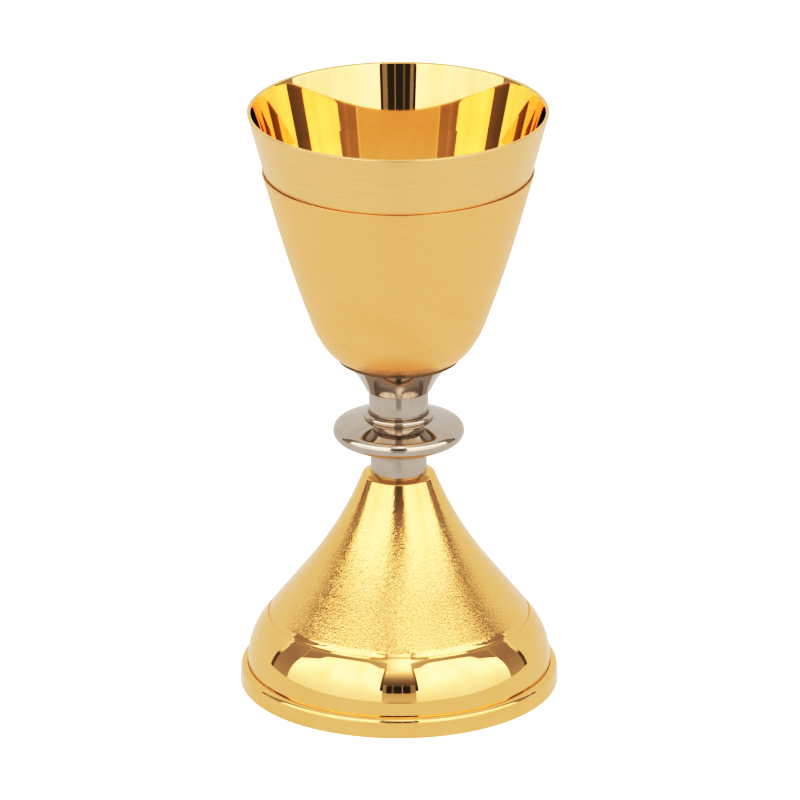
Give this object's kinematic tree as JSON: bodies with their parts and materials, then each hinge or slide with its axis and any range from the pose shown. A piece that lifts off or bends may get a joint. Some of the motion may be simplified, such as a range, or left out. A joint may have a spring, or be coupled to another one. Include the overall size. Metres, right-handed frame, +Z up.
{
  "type": "communion chalice",
  "caption": "Gilt double-walled communion cup on a nickel-plated stem with a disc knop and a hollow bell foot with a bark-textured cone.",
  "frame": {"origin": "centre of the base ring's underside, on the table", "axes": "+Z up along the axis of the cup; the piece is round about it, apart from the hexagon nut and the split washer"},
  "size_m": [0.0924, 0.0924, 0.175],
  "materials": {
    "mirror_gilt": "gilt brass, mirror polished",
    "satin_gilt": "gilt brass, satin brushed round the cup",
    "bark_gilt": "gilt brass: bark-textured cone, mirror-polished dome",
    "nickel_polish": "nickel-plated brass, polished",
    "nickel_satin": "nickel-plated brass, satin",
    "raw_brass": "turned brass, not polished",
    "zinc_steel": "zinc-plated steel"
  },
  "bodies": {
    "root": {"cup": "mirror_gilt", "calyx": "satin_gilt", "seat_ring": "mirror_gilt", "collar": "nickel_polish", "neck_ring": "nickel_polish", "knop": "nickel_polish", "lower_sleeve": "nickel_satin", "foot": "bark_gilt", "base_ring": "mirror_gilt", "cup_boss": "raw_brass", "tie_rod": "zinc_steel", "bearing_washer": "zinc_steel", "spring_washer": "zinc_steel", "foot_nut": "zinc_steel"}
  },
  "joints": []
}
